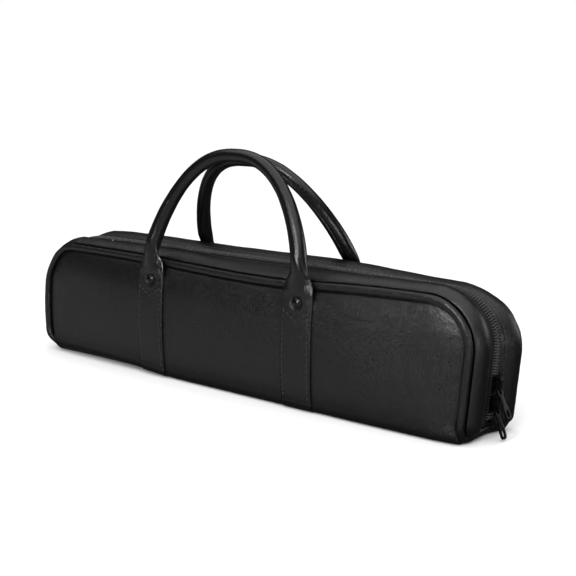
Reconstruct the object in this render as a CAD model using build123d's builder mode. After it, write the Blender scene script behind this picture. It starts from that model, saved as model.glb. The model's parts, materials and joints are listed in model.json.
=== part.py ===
from build123d import *
from math import cos, sin, tan, radians, degrees
import os

os.makedirs("parts", exist_ok=True)

# ---------------------------------------------------------------- sizes (mm)
half_len = 216.0       # groove outline, half length at the top of the case
groove_h = 100.0       # height of the groove outline
corner_r = 36.0        # top corner radius of the groove outline
end_lean = 4.2         # degrees the ends lean inwards towards the bottom
seam_y = 28.5          # groove plane, each side of the middle
roll_w = 6.0           # width of the rolled edge, in the panel's plane
roll_d = 5.0           # depth of the rolled edge
rim_low = 8.0          # where gusset strips start above the floor
zip_low = 10.0         # where the zip starts above the floor

board_in = 27.8        # inner face of the stiffener boards
board_t = 1.8
lining_t = 0.8
cover_t = 1.4          # leather thickness
strap_t = 2.0
strap_gap = 0.15       # glue line between the front straps and the cover
base_y = board_in + board_t
edge_y = 33.4          # cover surface at its top and bottom edges
crown_y = 37.6         # cover surface at mid height
crown_flat = 125.0     # half length over which the crown is full
panel_top = groove_h - roll_w
panel_e = -roll_w
fold_y = 30.0          # fold line of the front half
fold_z = 5.0
fold_r = 3.6
core_low = fold_z + fold_r + 1.6

bottom_t = 2.4
bottom_board_t = 1.6
bottom_front = fold_y - fold_r - 0.6
groove_t = 1.5         # depth the straps are pressed into the bottom
heel_r = 7.0           # rounding of the back cover's lower edge
welt_r = 3.4

gusset_t = 1.8
gusset_in = 6.0        # gusset edge beside the zip
tape_in = 0.9
tape_w = 7.5
tape_t = 0.8
tape_e = -0.2
coil_w = 2.0
coil_t = 2.0

insert_face_t = 0.8
trough_deep = 23.0

strap_x = 74.5
strap_w = 27.0
strap_top = groove_h - 10.4
rivet_z = groove_h - 19.5
rivet_r = 4.3
rivet_seat = 37.2      # plane the rivet cap is pressed down to
post_r = 1.5
washer_r = 4.5

handle_y = 37.4        # hinge line of each handle
handle_z = groove_h - 7.5
tube_r = 5.0
core_r = 3.1
roll_r = 2.2           # flat rolled foot of the handle
flare_h = 13.0
lean_from = 11.0
handle_foot = 73.5      # half spacing of the feet at the hinge
handle_half = 72.8      # half spacing where the round tube starts
leg_lean = radians(17.0)  # the tube's legs lean in towards the arch
front_rise = 79.0      # rise of the arch above the necks
rear_rise = 86.0
front_set_in = 3.0     # how far the foot leans in before the tube starts
rear_set_in = 4.5
front_lean = radians(13.0)
rear_lean = radians(25.5)

lower_slider_z = 19.5
slider_len = 12.0
slider_gap = 1.5
upper_slider_z = lower_slider_z + slider_len + slider_gap
slider_half = 5.0
pivot_up = 3.6         # pull pivot above the slider's lower end
pivot_e = 5.3
pivot_r = 0.8          # round bar of the pull, through the bridge
upper_pull_lean = radians(25.0)  # rests on the lower slider's bridge
lower_pull_lean = radians(20.0)

phi = radians(end_lean)
end_up = (sin(phi), 0, cos(phi))
end_out = (cos(phi), 0, -sin(phi))


# ---------------------------------------------------------------- helpers
def end_x(e, z):
    """x of the right end line, offset outwards by e, at height z"""
    return half_len + e / cos(phi) - (groove_h - z) * tan(phi)


def corner_x(e):
    """x of the sharp top corner of the outline offset by e"""
    return half_len + e * (1 + sin(phi)) / cos(phi)


def outline(e, z_low):
    """case outline offset by e, cut flat at z_low"""
    with BuildSketch() as sk:
        with BuildLine():
            Polyline(
                (-end_x(e, z_low), z_low),
                (end_x(e, z_low), z_low),
                (corner_x(e), groove_h + e),
                (-corner_x(e), groove_h + e),
                close=True,
            )
        make_face()
        fillet(sk.vertices().sort_by(Axis.Y)[-2:], radius=corner_r + e)
    return sk.sketch


def crown_face(t, z0, z1, side):
    """panel section in Y-Z, surface moved out by t; side is -1 front, 1 rear"""
    with BuildSketch() as sk:
        with BuildLine():
            Line((side * base_y, z0), (side * (edge_y + t), z0))
            ThreePointArc(
                (side * (edge_y + t), z0),
                (side * (crown_y + t), (z0 + z1) / 2),
                (side * (edge_y + t), z1),
            )
            Line((side * (edge_y + t), z1), (side * base_y, z1))
            Line((side * base_y, z1), (side * base_y, z0))
        make_face()
    return sk.sketch


def draw_in_face(t, side):
    """plan section: full depth in the middle, drawn in towards both ends"""
    deep = side * (crown_y + t + 0.3)
    edge = side * (edge_y + t)
    x1 = half_len
    with BuildSketch() as sk:
        with BuildLine():
            Line((-x1, 0), (-x1, edge))
            TangentArc((-crown_flat, deep), (-x1, edge), tangent=(-1, 0))
            Line((-crown_flat, deep), (crown_flat, deep))
            TangentArc((crown_flat, deep), (x1, edge), tangent=(1, 0))
            Line((x1, edge), (x1, 0))
            Line((x1, 0), (-x1, 0))
        make_face()
    return sk.sketch


def rim_start(e, z_low):
    """plane square to the rim path at its left lower end; local x is +Y, local y outwards"""
    return Plane(
        origin=(-end_x(e, z_low), 0, z_low),
        x_dir=(0, 1, 0),
        z_dir=(-sin(phi), 0, cos(phi)),
    )


def rim_points(e, z_low):
    """corner points of the rim path offset by e"""
    return [
        (-end_x(e, z_low), z_low),
        (-corner_x(e), groove_h + e),
        (corner_x(e), groove_h + e),
        (end_x(e, z_low), z_low),
    ]


def save(builder, name):
    """label a finished sub-part and write it out"""
    builder.part.label = name
    export_step(builder.part, f"parts/{name}.step")


# ---------------------------------------------------------------- padded panels
def panel_foam(side):
    """crowned foam pad between the board and the leather"""
    with BuildPart() as pad:
        with BuildSketch(Plane.YZ):
            add(crown_face(-cover_t, core_low, panel_top, side))
        extrude(amount=half_len, both=True)
        with BuildSketch(Plane.XZ):
            add(outline(panel_e - cover_t, core_low))
        extrude(amount=60, both=True, mode=Mode.INTERSECT)
        with BuildSketch(Plane.XY):
            add(draw_in_face(-cover_t, side))
        extrude(amount=groove_h, mode=Mode.INTERSECT)
        with Locations((-strap_x, side * base_y, rivet_z), (strap_x, side * base_y, rivet_z)):
            Cylinder(post_r, 40, rotation=(90, 0, 0), mode=Mode.SUBTRACT)
    return pad


def panel_skin(side, foam, z0):
    """leather over the foam pad"""
    with BuildPart() as skin:
        with BuildSketch(Plane.YZ):
            add(crown_face(0, z0, panel_top, side))
        extrude(amount=half_len, both=True)
        with BuildSketch(Plane.XZ):
            add(outline(panel_e, z0))
        extrude(amount=60, both=True, mode=Mode.INTERSECT)
        with BuildSketch(Plane.XY):
            add(draw_in_face(0, side))
        extrude(amount=groove_h, mode=Mode.INTERSECT)
    return skin


front_foam = panel_foam(-1)
save(front_foam, "front_foam")

with BuildPart() as front_cover:
    add(panel_skin(-1, front_foam, fold_z).part)
    with Locations((0, -fold_y, fold_z)):
        Cylinder(fold_r, 2 * end_x(panel_e, fold_z), rotation=(0, 90, 0))
    add(front_foam.part, mode=Mode.SUBTRACT)
    with Locations((-strap_x, -base_y, rivet_z), (strap_x, -base_y, rivet_z)):
        Cylinder(post_r, 40, rotation=(90, 0, 0), mode=Mode.SUBTRACT)
save(front_cover, "front_cover")

back_foam = panel_foam(1)
save(back_foam, "back_foam")


def strap_rear(x):
    """strap pressed into the bottom, round the heel and up the back"""
    heel_z = 9.4
    heel_y = 26.0
    with BuildPart() as strap:
        with BuildSketch(Plane.YZ.offset(x - strap_w / 2)) as sk:
            with BuildLine():
                Line((-bottom_front, groove_t), (-bottom_front, 0))
                Line((-bottom_front, 0), (heel_y, 0))
                ThreePointArc((heel_y, 0), (33.0, 2.75), (edge_y + strap_t + 0.5, heel_z))
                Line((edge_y + strap_t + 0.5, heel_z), (edge_y + 0.5, heel_z))
                ThreePointArc((edge_y + 0.5, heel_z), (31.6, 3.8), (heel_y, groove_t))
                Line((heel_y, groove_t), (-bottom_front, groove_t))
            make_face()
        extrude(amount=strap_w)
        with BuildSketch(Plane.YZ.offset(x - strap_w / 2)):
            add(crown_face(strap_t, 0, panel_top, 1))
            add(crown_face(0, 0, panel_top, 1), mode=Mode.SUBTRACT)
            with Locations((edge_y, heel_z / 2)):
                Rectangle(20, heel_z, mode=Mode.SUBTRACT)
            with Locations((edge_y, strap_top + 10)):
                Rectangle(20, 20, mode=Mode.SUBTRACT)
        extrude(amount=strap_w)
        with Locations((x, base_y, rivet_z)):
            Cylinder(post_r, 40, rotation=(90, 0, 0), mode=Mode.SUBTRACT)
        with Locations((x, rivet_seat + 5, rivet_z)):
            Cylinder(rivet_r, 10, rotation=(90, 0, 0), mode=Mode.SUBTRACT)
    return strap


strap_left_rear = strap_rear(-strap_x)
strap_right_rear = strap_rear(strap_x)
save(strap_left_rear, "strap_left_rear")
save(strap_right_rear, "strap_right_rear")


def strap_front(x):
    """strap on the front panel, from the fold up to the handle"""
    with BuildPart() as strap:
        with BuildSketch(Plane.YZ.offset(x - strap_w / 2)):
            add(crown_face(strap_t, fold_z, panel_top, -1))
            add(crown_face(strap_gap, fold_z, panel_top, -1), mode=Mode.SUBTRACT)
            with Locations((-edge_y, strap_top + 10)):
                Rectangle(20, 20, mode=Mode.SUBTRACT)
        extrude(amount=strap_w)
        add(front_cover.part, mode=Mode.SUBTRACT)
        with Locations((x, -base_y, rivet_z)):
            Cylinder(post_r, 40, rotation=(90, 0, 0), mode=Mode.SUBTRACT)
        with Locations((x, -rivet_seat - 5, rivet_z)):
            Cylinder(rivet_r, 10, rotation=(90, 0, 0), mode=Mode.SUBTRACT)
    return strap


strap_left_front = strap_front(-strap_x)
strap_right_front = strap_front(strap_x)
save(strap_left_front, "strap_left_front")
save(strap_right_front, "strap_right_front")

with BuildPart() as back_cover:
    add(panel_skin(1, back_foam, 0).part)
    heel = back_cover.edges().filter_by(Axis.X).filter_by_position(Axis.Z, -0.1, 0.1)
    fillet(heel.sort_by(Axis.Y)[-1], radius=heel_r - 3.5)
    add(back_foam.part, mode=Mode.SUBTRACT)
    add(strap_left_rear.part, mode=Mode.SUBTRACT)
    add(strap_right_rear.part, mode=Mode.SUBTRACT)
    with Locations((-strap_x, base_y, rivet_z), (strap_x, base_y, rivet_z)):
        Cylinder(post_r, 40, rotation=(90, 0, 0), mode=Mode.SUBTRACT)
save(back_cover, "back_cover")


def panel_board(side):
    """stiffener board behind a panel"""
    with BuildPart() as board:
        with BuildSketch(Plane.XZ.offset(-side * board_in)):
            add(outline(panel_e - 0.4, core_low))
            with Locations((-strap_x, rivet_z), (strap_x, rivet_z)):
                Circle(post_r, mode=Mode.SUBTRACT)
        extrude(amount=-side * board_t)
    return board


front_board = panel_board(-1)
back_board = panel_board(1)
save(front_board, "front_board")
save(back_board, "back_board")

with BuildPart() as front_lining:
    with BuildSketch(Plane.XZ.offset(board_in - lining_t)):
        add(outline(panel_e - 0.4, core_low))
        with Locations((-strap_x, rivet_z), (strap_x, rivet_z)):
            Circle(washer_r, mode=Mode.SUBTRACT)
    extrude(amount=lining_t)
save(front_lining, "front_lining")


# ---------------------------------------------------------------- rivets
def rivet(x, side):
    """domed cap, post through strap and panel, washer on the inside"""
    with BuildPart() as riv:
        with BuildSketch(Plane.XZ.offset(-side * rivet_seat)):
            with Locations((x, rivet_z)):
                Circle(rivet_r)
        extrude(amount=-side * 2.8)
        chamfer(riv.edges().group_by(Axis.Y)[-1 if side > 0 else 0], length=1.2)
        with BuildSketch(Plane.XZ.offset(-side * board_in)):
            with Locations((x, rivet_z)):
                Circle(post_r)
        extrude(amount=-side * (rivet_seat + 0.2 - board_in))
        with BuildSketch(Plane.XZ.offset(-side * (board_in - lining_t))):
            with Locations((x, rivet_z)):
                Circle(washer_r - 0.2)
        extrude(amount=-side * lining_t)
    return riv


front_rivet_left = rivet(-strap_x, -1)
front_rivet_right = rivet(strap_x, -1)
rear_rivet_left = rivet(-strap_x, 1)
rear_rivet_right = rivet(strap_x, 1)
save(front_rivet_left, "front_rivet_left")
save(front_rivet_right, "front_rivet_right")
save(rear_rivet_left, "rear_rivet_left")
save(rear_rivet_right, "rear_rivet_right")


# ---------------------------------------------------------------- rolled edges
def rolled_edge(side, z_low):
    """soft roll between the two grooves"""
    e = -roll_w / 2
    with BuildPart() as roll:
        with BuildLine(Plane.XZ):
            FilletPolyline(*rim_points(e, z_low), radius=corner_r + e)
        with BuildSketch(rim_start(e, z_low)):
            with Locations((side * (fold_y + 0.4), 0)):
                Ellipse(roll_d / 2, roll_w / 2 - 0.05)
        sweep()
    return roll


front_piping = rolled_edge(-1, fold_z)
rear_piping = rolled_edge(1, fold_z)
save(front_piping, "front_piping")
save(rear_piping, "rear_piping")


# ---------------------------------------------------------------- gusset strips
def gusset(side):
    """convex strip from the rolled edge to the zip"""
    y0 = side * gusset_in
    y1 = side * (seam_y + gusset_in) / 2
    y2 = side * (seam_y - 0.6)
    with BuildPart() as strip:
        with BuildLine(Plane.XZ):
            FilletPolyline(*rim_points(0, rim_low), radius=corner_r)
        with BuildSketch(rim_start(0, rim_low)):
            with BuildLine():
                ThreePointArc((y0, 2.4), (y1, 3.9), (y2, 1.0))
                Line((y2, 1.0), (y2, 1.0 - gusset_t))
                ThreePointArc((y2, 1.0 - gusset_t), (y1, 3.9 - gusset_t), (y0, 2.4 - gusset_t))
                Line((y0, 2.4 - gusset_t), (y0, 2.4))
            make_face()
        sweep()
    return strip


front_gusset = gusset(-1)
rear_gusset = gusset(1)
save(front_gusset, "front_gusset")
save(rear_gusset, "rear_gusset")


# ---------------------------------------------------------------- zip
def rim_band(y_mid, y_size, e_mid, e_size, z_low):
    """flat band of constant section that follows the rim"""
    with BuildPart() as band:
        with BuildLine(Plane.XZ):
            FilletPolyline(*rim_points(0, z_low), radius=corner_r)
        with BuildSketch(rim_start(0, z_low)):
            with Locations((y_mid, e_mid)):
                Rectangle(y_size, e_size)
        sweep()
    return band


tape_mid = tape_in + tape_w / 2
coil_mid = tape_in + coil_w / 2
coil_e = tape_e + tape_t + coil_t / 2
front_zip_tape = rim_band(-tape_mid, tape_w, tape_e + tape_t / 2, tape_t, zip_low)
rear_zip_tape = rim_band(tape_mid, tape_w, tape_e + tape_t / 2, tape_t, zip_low)
front_coil = rim_band(-coil_mid, coil_w, coil_e, coil_t, zip_low + 4)
rear_coil = rim_band(coil_mid, coil_w, coil_e, coil_t, zip_low + 4)
save(front_zip_tape, "front_zip_tape")
save(rear_zip_tape, "rear_zip_tape")
save(front_coil, "front_coil")
save(rear_coil, "rear_coil")


def zip_stop(side):
    """small block crimped on the rear tape at the end of the chain"""
    z0 = zip_low
    plane = Plane(
        origin=(side * end_x(0, z0 + 0.4), 0, z0 + 0.4),
        x_dir=(0, -side, 0),
        z_dir=(side * sin(phi), 0, cos(phi)),
    )
    with BuildPart() as stop:
        with BuildSketch(plane):
            with Locations((-side * (tape_in + 1.6), tape_e + tape_t + 1.1)):
                Rectangle(3.2, 2.2)
        extrude(amount=3.0)
        fillet(stop.edges().filter_by(Axis.Y), radius=0.5)
    return stop


zip_stop_left = zip_stop(-1)
zip_stop_right = zip_stop(1)
save(zip_stop_left, "zip_stop_left")
save(zip_stop_right, "zip_stop_right")


# ---------------------------------------------------------------- bottom
with BuildPart() as bottom_cover:
    with BuildSketch(Plane.XY):
        with Locations((0, (base_y - bottom_front) / 2)):
            Rectangle(2 * (end_x(0, 0) - 2 * welt_r), base_y + bottom_front)
    extrude(amount=bottom_t)
    add(strap_left_rear.part, mode=Mode.SUBTRACT)
    add(strap_right_rear.part, mode=Mode.SUBTRACT)
save(bottom_cover, "bottom_cover")

with BuildPart() as bottom_board:
    with BuildSketch(Plane.XY.offset(bottom_t)):
        with Locations((0, (board_in - bottom_front) / 2 + 1.0)):
            Rectangle(2 * (end_x(0, 0) - 2 * welt_r - 1), board_in + bottom_front - 2.4)
    extrude(amount=bottom_board_t)
save(bottom_board, "bottom_board")


def end_welt(side):
    """rolled edge across the bottom at one end"""
    y0 = -bottom_front + 0.4
    y1 = base_y - 2.4
    with BuildPart() as welt:
        with BuildSketch(Plane.XZ.offset(-y0)):
            with Locations((side * (end_x(0, 0) - welt_r), welt_r)):
                Circle(welt_r)
        extrude(amount=-(y1 - y0))
    return welt


end_welt_left = end_welt(-1)
end_welt_right = end_welt(1)
save(end_welt_left, "end_welt_left")
save(end_welt_right, "end_welt_right")


# ---------------------------------------------------------------- insert for the flute
insert_low = bottom_t + bottom_board_t


def insert_outline():
    """insert outline, its lower corners cut back over the end welts"""
    with BuildSketch() as sk:
        add(outline(-4.0, insert_low))
        chamfer(sk.vertices().sort_by(Axis.Y)[:2], length=5.0)
    return sk.sketch


head_end = 41.0        # right end of the head joint's trough
foot_start = 50.0      # left end of the foot joint's trough
body_len = 2 * half_len - 60
head_len = 2 * half_len - 198
foot_len = half_len - 83
lower_h = 0.38 * groove_h
upper_h = 0.34 * groove_h
trough_rows = (
    (0.0, 0.27 * groove_h, body_len, lower_h),
    (head_end - head_len / 2, 0.72 * groove_h, head_len, upper_h),
    (foot_start + foot_len / 2, 0.72 * groove_h, foot_len, upper_h),
)
with BuildPart() as insert_block:
    with BuildSketch(Plane.XZ):
        add(insert_outline())
    extrude(amount=-board_in)
    with BuildSketch(Plane.XZ):
        for tx, tz, tl, th in trough_rows:
            with Locations((tx, tz)):
                RectangleRounded(tl, th, 9)
    extrude(amount=-trough_deep, mode=Mode.SUBTRACT)
    with Locations((-strap_x, board_in, rivet_z), (strap_x, board_in, rivet_z)):
        Cylinder(washer_r, 2 * lining_t, rotation=(90, 0, 0), mode=Mode.SUBTRACT)
save(insert_block, "insert_block")

with BuildPart() as insert_face:
    with BuildSketch(Plane.XZ):
        add(insert_outline())
        for tx, tz, tl, th in trough_rows:
            with Locations((tx, tz)):
                RectangleRounded(tl, th, 9, mode=Mode.SUBTRACT)
    extrude(amount=insert_face_t)
save(insert_face, "insert_face")


# ---------------------------------------------------------------- handles
def handle_point(x, s, side, lean, set_in):
    """point on the handle's centre line, s along it from the hinge"""
    over = max(0.0, s - lean_from)
    near = min(s, lean_from)
    back = set_in * near / lean_from + over * sin(lean)
    return (x, side * (handle_y - back), handle_z + near + over * cos(lean))


def handle_path(side, lean, set_in, rise):
    """centre line of the tube: two leaning legs joined by an arc"""
    up = (rise - handle_half * cos(leg_lean)) / (1 - sin(leg_lean))
    bend = rise - up
    x1 = bend * cos(leg_lean)
    s1 = flare_h + up + bend * sin(leg_lean)
    left_neck = handle_point(-handle_half, flare_h, side, lean, set_in)
    left_turn = handle_point(-x1, s1, side, lean, set_in)
    crest = handle_point(0, flare_h + rise, side, lean, set_in)
    right_turn = handle_point(x1, s1, side, lean, set_in)
    right_neck = handle_point(handle_half, flare_h, side, lean, set_in)
    with BuildLine() as ln:
        Line(left_neck, left_turn)
        ThreePointArc(left_turn, crest, right_turn)
        Line(right_turn, right_neck)
    return ln.line


def handle_core(path):
    """cord core that fills the tube"""
    with BuildPart() as core:
        with BuildSketch(Plane(origin=path @ 0, z_dir=path % 0)):
            Circle(core_r)
        sweep(path=path)
    return core


def handle(side, path, core):
    """leather tube with feet that flatten to the strap's width"""
    hinge = (0, side * handle_y, handle_z)
    over = (path @ 1).Y - side * handle_y
    rise = (path @ 1).Z - handle_z
    foot_face = Plane(origin=hinge, x_dir=(1, 0, 0), z_dir=(0, -rise, over))
    with BuildPart() as grip:
        with BuildSketch(Plane(origin=path @ 0, z_dir=path % 0)):
            Circle(tube_r)
        sweep(path=path)
        with Locations(path @ 0, path @ 1):
            Sphere(tube_r + 0.05)
        with BuildSketch(foot_face):
            with BuildLine():
                Polyline(
                    (handle_foot - strap_w / 2 + 0.6, 0),
                    (handle_foot + strap_w / 2 - 0.6, 0),
                    (handle_half + tube_r - 0.4, rise - 1),
                    (handle_half - tube_r + 0.4, rise - 1),
                    close=True,
                )
            make_face()
            mirror(about=Plane.YZ)
        extrude(amount=roll_r - 0.1, both=True)
        with Locations(
            (-handle_foot, side * handle_y, handle_z),
            (handle_foot, side * handle_y, handle_z),
        ):
            Cylinder(roll_r, strap_w - 1, rotation=(0, 90, 0))
        add(core.part, mode=Mode.SUBTRACT)
    return grip


front_path = handle_path(-1, front_lean, front_set_in, front_rise)
rear_path = handle_path(1, rear_lean, rear_set_in, rear_rise)
front_handle_core = handle_core(front_path)
rear_handle_core = handle_core(rear_path)
front_handle = handle(-1, front_path, front_handle_core)
rear_handle = handle(1, rear_path, rear_handle_core)
save(front_handle, "front_handle")
save(rear_handle, "rear_handle")
save(front_handle_core, "front_handle_core")
save(rear_handle_core, "rear_handle_core")


# ---------------------------------------------------------------- sliders and pulls
def slider(z0):
    """two plates and a post round the coil, bridge on the outside"""
    across = Plane(origin=(end_x(0, z0), 0, z0), x_dir=(0, -1, 0), z_dir=end_up)
    along = Plane(origin=(end_x(0, z0), 0, z0), x_dir=end_out, z_dir=(0, -1, 0))
    with BuildPart() as body:
        with BuildSketch(across):
            with Locations((0, 3.55)):
                Rectangle(2 * slider_half, 1.1)
            with Locations((0, -1.5)):
                Rectangle(2 * slider_half - 0.8, 1.0)
            with Locations((-4.25, 2.1)):
                Rectangle(1.3, 1.8)
        extrude(amount=slider_len)
        with BuildSketch(across.offset(slider_len - 3.2)):
            with Locations((0, 1.0)):
                Rectangle(1.2, 4.2)
        extrude(amount=3.2)
        with BuildSketch(along):
            with Locations((5.8, slider_len / 2 - 0.4)):
                RectangleRounded(3.8, 9.6, 1.5)
            with Locations((5.2, slider_len / 2 - 0.4)):
                Rectangle(2.6, 6.6, mode=Mode.SUBTRACT)
        extrude(amount=1.3, both=True)
    return body


def pull(z0, lean):
    """bar through the bridge, two arms, ribbed tab and open loop"""
    px = end_x(0, z0) + pivot_e * cos(phi) + pivot_up * sin(phi)
    pz = z0 - pivot_e * sin(phi) + pivot_up * cos(phi)
    flat = Plane(origin=(px, 0, pz), x_dir=(0, -1, 0), z_dir=(cos(lean), 0, sin(lean)))
    with BuildPart() as tab:
        with BuildSketch(flat.offset(-0.7)):
            with Locations((0, 2.95)):
                RectangleRounded(6.4, 5.5, 0.6)
            with Locations((0, 2.9)):
                Rectangle(3.6, 4.4, mode=Mode.SUBTRACT)
            with Locations((0, 9.6)):
                RectangleRounded(4.4, 8.8, 1.0)
            with Locations((0, 17.4)):
                RectangleRounded(6.6, 10.2, 2.6)
            with Locations((0, 18.6)):
                RectangleRounded(3.6, 4.8, 1.5, mode=Mode.SUBTRACT)
        extrude(amount=1.4)
        with Locations((px, 0, pz)):
            Cylinder(pivot_r, 6.2, rotation=(90, 0, 0))
    return tab, (px, pz)


upper_slider = slider(upper_slider_z)
lower_slider = slider(lower_slider_z)
save(upper_slider, "upper_slider")
save(lower_slider, "lower_slider")

upper_pull, upper_pivot = pull(upper_slider_z, upper_pull_lean)
lower_pull, lower_pivot = pull(lower_slider_z, lower_pull_lean)
save(upper_pull, "upper_pull")
save(lower_pull, "lower_pull")

print("upper pivot", upper_pivot, "lower pivot", lower_pivot)
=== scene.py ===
import json
import math

import bmesh
import bpy
from mathutils import Euler, Matrix, Vector, noise

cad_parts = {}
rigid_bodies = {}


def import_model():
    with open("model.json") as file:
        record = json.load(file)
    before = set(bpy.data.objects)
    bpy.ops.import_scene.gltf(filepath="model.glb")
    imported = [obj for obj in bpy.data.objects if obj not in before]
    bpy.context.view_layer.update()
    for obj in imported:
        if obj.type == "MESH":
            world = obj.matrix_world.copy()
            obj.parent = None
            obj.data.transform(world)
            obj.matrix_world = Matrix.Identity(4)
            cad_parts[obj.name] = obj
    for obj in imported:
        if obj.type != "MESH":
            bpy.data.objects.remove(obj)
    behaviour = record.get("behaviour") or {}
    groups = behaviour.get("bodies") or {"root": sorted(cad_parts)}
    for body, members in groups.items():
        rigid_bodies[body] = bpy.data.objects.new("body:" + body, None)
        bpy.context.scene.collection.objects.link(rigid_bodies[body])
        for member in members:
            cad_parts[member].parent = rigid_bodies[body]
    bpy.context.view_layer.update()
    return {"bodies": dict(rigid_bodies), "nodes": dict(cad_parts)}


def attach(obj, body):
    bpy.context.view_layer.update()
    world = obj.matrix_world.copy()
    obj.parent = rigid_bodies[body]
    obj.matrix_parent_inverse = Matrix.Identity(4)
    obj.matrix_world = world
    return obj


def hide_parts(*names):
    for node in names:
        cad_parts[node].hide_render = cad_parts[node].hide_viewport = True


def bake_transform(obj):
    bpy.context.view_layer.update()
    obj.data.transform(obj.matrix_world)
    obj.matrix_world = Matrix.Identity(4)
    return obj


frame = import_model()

# ====================================================================== front panel
# The front panel is one piece of black faux leather drawn over a foam pad. It is crowned in the middle,
# drawn in to the seam all round, and runs on round the lower edge, where the case folds open.
HALF_LEN, TOP, CORNER = 216.0, 100.0, 36.0  # outline of the outer groove, in millimetres
LEAN = math.radians(4.2)  # the ends lean in towards the bottom
BOARD_FACE = 29.7
PANEL_EDGE, GROOVE = -5.9, 0.8  # where the panel's skin ends; how wide its flat edge in the groove is


def smooth(t):
    t = min(1.0, max(0.0, t))
    return t * t * (3 - 2 * t)


def wave(x, y, z, size, seed=0.0):
    """soft irregular height from -1 to 1, with bumps about size millimetres across"""
    return noise.noise(Vector((x / size + seed, y / size - seed, z / size + 2 * seed)))


def end_x(e, z):
    """x of the right end of the outline, moved outwards by e, at height z"""
    return HALF_LEN + e / math.cos(LEAN) - (TOP - z) * math.tan(LEAN)


def rim(e, low, step):
    """(x, z, outward x, outward z) along the outline moved outwards by e, from left foot over the top to right foot"""
    bend, across = CORNER + e, HALF_LEN - CORNER * (1 + math.sin(LEAN)) / math.cos(LEAN)
    knee = TOP - CORNER - bend * math.sin(LEAN)
    half = []
    count = max(2, round((knee - low) / step))
    for i in range(count):
        z = low + (knee - low) * i / count
        half.append((end_x(e, z), z, math.cos(LEAN), -math.sin(LEAN)))
    count = max(10, round(bend * (math.pi / 2 + LEAN) / step))
    for i in range(count):
        a = -LEAN + (math.pi / 2 + LEAN) * i / count
        half.append((across + bend * math.cos(a), TOP - CORNER + bend * math.sin(a), math.cos(a), math.sin(a)))
    count = round(across / step)
    for i in range(count):
        half.append((across * (1 - i / count), TOP + e, 0.0, 1.0))
    left = [(-x, z, -nx, nz) for x, z, nx, nz in half]
    return left + [(0.0, TOP + e, 0.0, 1.0)] + half[::-1]


def out_of_rim(x, z):
    """signed distance of a point from the groove outline, outwards"""
    across = HALF_LEN - CORNER * (1 + math.sin(LEAN)) / math.cos(LEAN)
    dx, dz = abs(x) - across, z - (TOP - CORNER)
    if -LEAN < math.atan2(dz, dx) < math.pi / 2:
        return math.hypot(dx, dz) - CORNER
    return max(z - TOP, (abs(x) - HALF_LEN) * math.cos(LEAN) - (z - TOP) * math.sin(LEAN))


def ease_in(t, soft=5.0):
    """0 below 0 and t above it, with a round turn between"""
    return soft * math.log1p(math.exp(min(60.0, t / soft)))


def settle(x, y, z, top=True):
    """where a point of the soft case has slumped to: ends fuller, corners rounder, top edges uneven"""
    run, up = max(0.0, abs(x) - 177.3), max(0.0, ease_in(z - 64) - 0.3)
    r = math.hypot(run, up)
    if r > 0 and (x < 0 or y > 0):
        nx, nz = run / r, up / r
        push = 9.4 - 3.6 * nx - 9.4 * nz + 1.4 * smooth(3 * nx) * math.exp(-(((z - 88) / 9) ** 2))
        if x < 0:
            push = 10.0 - 8.4 * nx - 10.0 * nz + 6.0 * (1 - math.exp(-ease_in(60 - z, 6.0) / 20))
            push += 1.8 * smooth(3 * nx) * math.exp(-(((z - 94) / 10) ** 2))
        push *= smooth((z + 1) / 18) if x < 0 else 1.0
        push -= 2.6 * (1 - smooth((z + 1) / 24)) * smooth((-y - 4) / 20) if x < 0 else 0.0
        push *= smooth((abs(y) - 1) / 22) * min(1.0, r / 36)
        x, z = x + (push if x > 0 else -push) * nx, z + push * nz
    z += 4.6 * smooth((-x - 40) / 100) * smooth((-y - 23) / 8) * smooth((45 - z) / 38) * smooth((225 + x) / 45)
    if top:
        width = 105.0 if x < 38 else 70.0
        z -= 5.0 * math.exp(-(((x - 38) / width) ** 2)) * smooth((-y - 6) / 20) * smooth((z - 45) / 50)
        rise = 3.2 * smooth((215 + x) / 60) - 1.4 * smooth((x + 130) / 110) - 5.2 * smooth((x - 62) / 125)
        z += rise * smooth((y + 8) / 18) * smooth((z - 50) / 45)
    return x, y, z


def crown(x, z, side):
    """how far the leather stands out from the middle plane of the case"""
    up = max(0.0, 1 - ((z - 48) / 47) ** 2) ** 0.8
    soft = 0.45 * wave(x, 30 * side, z, 55, 3) + 0.14 * wave(x, 30 * side, z, 19, 5)
    d = min(1.0, max(0.0, PANEL_EDGE - GROOVE - out_of_rim(x, z)) / 24)
    return 33.6 - 3.1 * (1 - d) ** 2 + 4.0 * up * smooth((213 - abs(x)) / 100) + soft * up


def spread(line, shares):
    """points at the given shares of a line's length"""
    reach = [0.0]
    for a, b in zip(line, line[1:]):
        reach.append(reach[-1] + math.dist(a, b))
    made, k = [], 0
    for share in shares:
        want = share * reach[-1]
        while k < len(line) - 2 and reach[k + 1] < want:
            k += 1
        t = (want - reach[k]) / max(1e-9, reach[k + 1] - reach[k])
        made.append(tuple(a + (b - a) * t for a, b in zip(line[k], line[k + 1])))
    return made


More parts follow.
